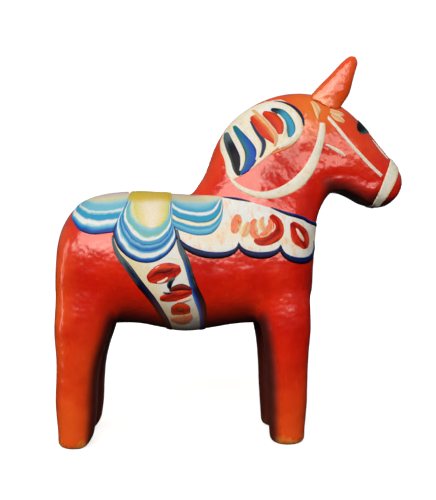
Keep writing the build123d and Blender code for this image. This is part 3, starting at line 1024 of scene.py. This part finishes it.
def ring_place(surface, centre, up):
    """Places by (angle from the top in degrees, millimetres along the head) on a ring round the head."""
    upward = np.array([up[0], 0, up[1]])
    forward = np.array([up[1], 0, -up[0]])

    def place(degrees, ahead):
        angle = math.radians(degrees)
        origin = np.array([centre[0], 0, centre[1]]) + forward * ahead
        return surface.hit(origin, upward * math.cos(angle) + np.array([0, -math.sin(angle), 0]))

    return place


def paint_noseband(surface):
    """A closed ring of paint round the muzzle."""
    place = ring_place(surface, NOSEBAND_CENTRE, NOSEBAND_UP)
    turns = np.linspace(0, 360, NOSEBAND_STEPS, endpoint=False)
    share = (1 - np.cos(np.linspace(0, math.pi, 2 * LINE_ACROSS + 1))) / 2
    # Narrowest under the chin, widest on the sides.
    sideways, up = np.abs(np.sin(np.radians(turns))), np.cos(np.radians(turns))
    widths = NOSEBAND_WIDTH * (0.8 + 0.4 * sideways + 0.2 * up)
    rows = ([place(a, w * (s - 0.5) + NOSEBAND_AHEAD) for s in share] for a, w in zip(turns, widths))
    grid = np.array(list(rows))
    profile = np.minimum(dome(NOSEBAND_WIDTH * np.minimum(share, 1 - share) / EDGE), 1)[None, :]
    height = np.repeat(NOSEBAND_THICK * profile - DIP * (profile < RIM), len(turns), axis=0)
    u = np.repeat(np.minimum(turns, 360 - turns)[:, None] / 30, len(share), axis=1)
    v = np.repeat(share[None, :], len(turns), axis=0)
    paint = Paint(surface)
    paint.lay(grid, height, u, v, closed=True)
    return paint.mesh("noseband")


def paint_forehead(surface):
    place = ring_place(surface, FOREHEAD_CENTRE, FOREHEAD_UP)
    rear, front = ([(degrees, way * width / 2) for degrees, width in FOREHEAD_PATCH] for way in (-1, 1))
    return paint_patch(surface, "forehead_patch", place, rear, front, FOREHEAD_THICK, open_ends=False)


# ---------------- the whole horse

PETAL_COLOURS = {
    "rear": [
        (0, NAVY), (0.04, ROYAL), (0.08, CYAN), (0.11, SKY), (0.14, WHITE), (0.20, WHITE), (0.24, CYAN),
        (0.33, CYAN), (0.37, PALE), (0.40, WHITE), (0.43, SKY), (0.52, SKY), (0.60, PALE), (0.68, SAND),
        (0.80, LILAC), (1, PEACH),
    ],
    "middle": [
        (0, INK), (0.05, NAVY), (0.10, ROYAL), (0.14, CYAN), (0.17, WHITE), (0.22, WHITE), (0.25, SKY),
        (0.29, CYAN), (0.33, ROYAL), (0.37, CYAN), (0.41, SKY), (0.44, ROYAL), (0.48, CYAN), (0.52, CYAN),
        (0.55, WHITE), (0.61, WHITE), (0.65, SEA), (0.74, SEA), (0.80, SKY), (0.87, PALE), (0.93, SAND),
        (1, SAND),
    ],
    "front": [
        (0, ROYAL), (0.05, CYAN), (0.11, SKY), (0.15, CYAN), (0.20, CYAN), (0.24, CREAM), (0.30, CREAM),
        (0.34, TEAL), (0.38, CYAN), (0.52, CYAN), (0.57, WHITE), (0.62, WHITE), (0.67, CYAN), (0.80, SKY),
        (0.92, PALE), (1, ASH),
    ],
}


def evenly(*colours):
    return [(i / (len(colours) - 1), colour) for i, colour in enumerate(colours)]


# Each paint: its colours across a stroke, its seed, how far they wander, and its other settings.
PAINTS = {
    "rear_petal": (PETAL_COLOURS["rear"], 0.3, 0.07, {"bare": 0.1}),
    "middle_petal": (PETAL_COLOURS["middle"], 1.3, 0.11, {"ridge": YELLOW, "bare": 0.18}),
    "front_petal": (PETAL_COLOURS["front"], 2.1, 0.07, {"ridge": ASH, "bare": 0.14}),
    "cream": (evenly(CREAM, WHITE, CREAM, CREAM), 2.9, 0.3, {"tint": SAND}),
    "girth": (evenly(SAND, CREAM, WHITE, WHITE, CREAM), 3.3, 0.3, {"tint": SAND}),
    "collar": (evenly(WHITE, CREAM, WHITE, WHITE), 3.7, 0.3, {"tint": PETAL}),
    "edge": (evenly(INK, INK, NAVY, NAVY, ROYAL), 4.1, 0.3, {}),
    "girth_edge": (evenly(INK, NAVY, INK, INK), 4.7, 0.4, {"ends": SLATE}),
    "front_edge": (evenly(INK, INK, NAVY, ROYAL, CYAN), 4.9, 0.4, {"ends": SLATE}),
    "bloom": (evenly(BRICK, FLAME, BRICK, BLOOD, BRICK, FLAME, BRICK), 5.3, 0.5, {"tint": BLOOD}),
    "blush": (evenly(PEACH, PINK, PEACH, CREAM), 5.9, 0.5, {"tint": FLAME}),
    "blossom": (evenly(PINK, CREAM, PINK), 5.6, 0.4, {"tint": CREAM}),
    "heart": (evenly(INK, BARK, BLOOD, INK), 6.1, 0.3, {}),
    "ink": (evenly(SLATE, INK, INK, NAVY), 6.7, 0.3, {"ends": SLATE}),
    "blue": (evenly(INK, TEAL, ROYAL, ROYAL, NAVY), 7.3, 0.3, {"ends": TEAL}),
    # Paint of the painted shadow line beside a white lock of the mane.
    "slate_shadow": (evenly(SLATE, NAVY, SLATE), 7.6, 0.3, {}),
    "teal": (evenly(INK, TEAL, CYAN, CYAN, TEAL), 7.9, 0.3, {"ends": INK}),
    "flame": (evenly(FLAME, BRICK, FLAME, PEACH, FLAME), 8.3, 0.3, {}),
    "bark": (evenly(BARK, BRICK, FLAME, FLAME, BARK), 8.9, 0.3, {}),
    "smear": (evenly(FLAME, PEACH, FLAME), 8.6, 0.4, {"tint": FLAME}),
    "gold": (evenly(SAND, PEACH, CREAM), 9.1, 0.3, {}),
    "moss": (evenly(MOSS, INK, MOSS, SLATE), 9.7, 0.4, {}),
    "crown": (evenly(LIME, SAND, CREAM, CREAM, SAND, LIME), 10.3, 0.2, {"ridge": YELLOW}),
}
# Strokes that take another kind's paint.
BORROWED = {"stem": "ink", "light": "blossom", "white": "cream", "night": "edge"}
PAINT_SEEDS = {1: 27.0, -1: 11.0}
MIDDLE_SEED = 41.0

# Groups of strokes: strokes, slot, the kind that takes the CAD node's place, how thick some kinds stand,
# and how thick the others do.
STROKE_GROUPS = {
    "girth_roses": (GIRTH_ROSES, "rose_paint", "bloom", {"bloom": 0.8, "blush": 0.8}, 1.15),
    "collar_roses": (COLLAR_ROSES, "rose_paint", "bloom", {"bloom": 0.8, "blush": 0.8}, 1.15),
    "mane_locks": (MANE_LOCKS, "blue_petal_paint", "blue", {}, 0.7),
    "mane_red_lock": (RED_LOCK, "red_lock_paint", "flame", {"gold": 0.95}, 0.75),
}
# Single strokes with a CAD node of their own: line, how thick, slot.
SINGLE_STROKES = {
    "throat_strap": (THROAT_STRAP, 0.6, "cream_paint"),
    "bridle_cheekpiece": (CHEEKPIECE, 0.5, "white_paint"),
    "cheek_dash": (CHEEK_DASH, 0.45, "white_paint"),
    "nose_line": (NOSE_LINE, 0.35, "white_paint"),
}
# Small strokes that only this model has: lines, paint, slot.
TRIMS = {
    "ear_trim": (EAR_TRIM, "gold", "cream_paint"),
    "mane_smear": ([MANE_SMEAR], "smear", "red_lock_paint"),
    "eye_mark": ([EYE_MARK], "moss", "dark_green_paint"),
}


def make_paints(side_seed):
    """One set of paints for a side, so that no two strokes of the horse are quite alike."""
    return {
        name: brush_paint(f"paint_{name}", colours, side_seed + seed, wander, **settings)
        for name, (colours, seed, wander, settings) in PAINTS.items()
    }


def build_horse():
    lacquer = red_lacquer("red_lacquer")
    body = remeshed("body", ["body_half_left", "body_half_right"], BODY_VOXEL, BODY_SMOOTHING)
    body = rounded_underside(body, "body")
    body = blended(body, "body")
    worn_feet(body)
    carve(body, CARVING_SEED)
    mark_painted_shade(body)
    surface = Surface(body)
    for word, side in SIDES.items():
        half, ear = f"body_half_{word}", f"ear_{word}"
        add_piece(f"{half}_carved", half_of(body, side, half), lacquer, "red_lacquered_wood", half)
        ear_mesh = remeshed(ear, [ear], EAR_VOXEL, EAR_SMOOTHING)
        for polygon in ear_mesh.polygons:
            polygon.use_smooth = True
        add_piece(f"{ear}_carved", ear_mesh, lacquer, "red_lacquered_wood", ear)
        paint_side(surface, word, side)
    paints = make_paints(MIDDLE_SEED)
    for node, mesh, paint, slot in (
        ("saddle_crown", paint_crown(surface), "crown", "yellow_paint"),
        ("noseband", paint_noseband(surface), "cream", "cream_paint"),
        ("forehead_patch", paint_forehead(surface), "moss", "dark_green_paint"),
    ):
        add_piece(f"{node}_paint", mesh, paints[paint], slot, node)


def paint_side(surface, word, side):
    paints = make_paints(PAINT_SEEDS[side])
    beside = for_side(surface, side)[0]

    def add(node, mesh, paint, slot, suffix="paint", replaced=True):
        nodes = [f"{node}_{word}"] if replaced else []
        add_piece(f"{node}_{word}_{suffix}", mesh, paints[paint], slot, *nodes)

    for petal, mesh in paint_saddle(surface, side).items():
        add(f"saddle_{petal}", mesh, petal, "blue_petal_paint")
    band, rear_edging, front_edging = paint_girth(surface, side)
    add("girth", band, "girth", "cream_paint")
    add("girth_edging", rear_edging, "girth_edge", "navy_paint")
    add("girth_edging", front_edging, "front_edge", "navy_paint", "front_paint", replaced=False)
    band, edging = paint_collar(surface, side)
    add("breast_collar", band, "collar", "cream_paint")
    add("collar_edging", edging, "edge", "navy_paint")
    leaf = paint_patch(surface, "mane_leaf", beside, MANE_REAR, MANE_FRONT, LEAF_THICK)
    for part, (groups, slot, main, thicks, usual) in STROKE_GROUPS.items():
        if part == "mane_locks":
            add("mane_leaf", leaf, "cream", "cream_paint")
        for kind, lines in groups.items():
            mesh = paint_lines(surface, beside, lines, thicks.get(kind, usual), kind)
            add(part, mesh, BORROWED.get(kind, kind), slot, kind, replaced=kind == main)
    for node, (line, thick, slot) in SINGLE_STROKES.items():
        add(node, paint_lines(surface, beside, [line], thick, node), "cream", slot)
    for node, (lines, paint, slot) in TRIMS.items():
        mesh = paint_lines(surface, beside, lines, TRIM_THICK, node)
        add(node, mesh, paint, slot, replaced=False)


# ---------------- floor, light and camera

CAMERA_PLACE, CAMERA_TURN = (-0.0398, -0.422, 0.121), math.radians(-4)
LENS, SENSOR = 46.08, 36.0
FLOOR_RADIUS, FLOOR_CURVE, FLOOR_TOP = 3.0, 0.8, 3.0
FLOOR_STEPS, FLOOR_TURNS = 12, 64
FLOOR_GLOW, GLOW_EDGE = 0.7, (0.2, 0.7)
FLOOR_TONES = [(0.3, (0.86, 0.86, 0.86, 1)), (0.7, (0.89, 0.89, 0.89, 1))]
AIR, AIR_TONES = 0.15, [(0.0, (0.10, 0.10, 0.10, 1)), (0.25, (1, 1, 1, 1))]
WARM, PLAIN = (1.0, 0.87, 0.74), (1, 1, 1)
AIM = (0, 0, 0.12)
# Each lamp: place, width, height, power, colour.
LAMPS = {
    "key": ((-0.30, -1.05, 0.76), 1.3, 0.6, 13, WARM),
    "front": ((0.0, -1.35, 0.50), 1.5, 0.35, 6.6, WARM),
    "rear": ((-1.3, -0.45, 0.35), 0.25, 0.9, 2.2, WARM),
    "back": ((0.2, 1.4, 0.35), 1.2, 0.5, 8, PLAIN),
}


def studio_floor():
    """A pale floor that curves up all round into a pale backdrop."""
    n = Nodes(bpy.data.materials.new("studio_paper"))
    x, y, _ = n.split(n.position())
    reach = n.math("SQRT", n.math("MULTIPLY_ADD", x, x, n.math("MULTIPLY", y, y)))
    paper = n.finish({
        "Base Color": n.ramp(n.noise(n.position(), 6, 3), FLOOR_TONES),
        "Roughness": 0.9,
        "Specular IOR Level": 0.0,
        "Emission Color": (1, 1, 1, 1),
        "Emission Strength": n.math("MULTIPLY_ADD", n.step(reach, *GLOW_EDGE), 1 - FLOOR_GLOW, FLOOR_GLOW),
    })
    profile = [(0.001, 0.0), (1.0, 0.0), (FLOOR_RADIUS, 0.0)]
    for step in range(1, FLOOR_STEPS + 1):
        angle = math.pi / 2 * step / FLOOR_STEPS
        profile.append((FLOOR_RADIUS + FLOOR_CURVE * math.sin(angle), FLOOR_CURVE * (1 - math.cos(angle))))
    profile.append((FLOOR_RADIUS + FLOOR_CURVE, FLOOR_TOP))
    bm = bmesh.new()
    turns = [2 * math.pi * i / FLOOR_TURNS for i in range(FLOOR_TURNS)]
    rings = [[bm.verts.new((r * math.cos(a), r * math.sin(a), z)) for a in turns] for r, z in profile]
    for low, high in zip(rings, rings[1:]):
        for i in range(len(turns)):
            k = (i + 1) % len(turns)
            bm.faces.new([low[i], low[k], high[k], high[i]]).smooth = True
    bm.faces.new(rings[0])
    floor = placed("studio_floor", mesh_of(bm, "studio_floor"))
    floor.data.materials.append(paper)
    # The floor throws no light up at the horse, so that its belly stays dark.
    floor.visible_diffuse = False
    floor.visible_glossy = False
    floor.visible_shadow = False


def softbox(name, place, width, height, power, colour):
    light = bpy.data.lights.new(name, "AREA")
    light.shape = "RECTANGLE"
    light.size, light.size_y = width, height
    light.energy = power
    light.color = colour
    obj = placed(name, light)
    obj.location = place
    obj.rotation_euler = (Vector(AIM) - Vector(place)).to_track_quat("-Z", "Y").to_euler()


def studio_air():
    """Dim light from the upper half of the room only."""
    n = Nodes(bpy.data.worlds.new("studio_air"), "Background")
    direction = n.node("TexCoord", {}, "Generated")
    return n.finish({"Color": n.ramp(n.split(direction)[2], AIR_TONES), "Strength": AIR})


def studio():
    studio_floor()
    for name, settings in LAMPS.items():
        softbox(name, *settings)
    bpy.context.scene.world = studio_air()
    bpy.context.scene.view_settings.view_transform = "Standard"
    camera = bpy.data.cameras.new("camera")
    camera.lens, camera.sensor_width = LENS, SENSOR
    camera.clip_start, camera.clip_end = 0.01, 20
    eye = placed("camera", camera)
    eye.location = CAMERA_PLACE
    eye.rotation_euler = (math.pi / 2, 0, CAMERA_TURN)
    bpy.context.scene.camera = eye


build_horse()
studio()
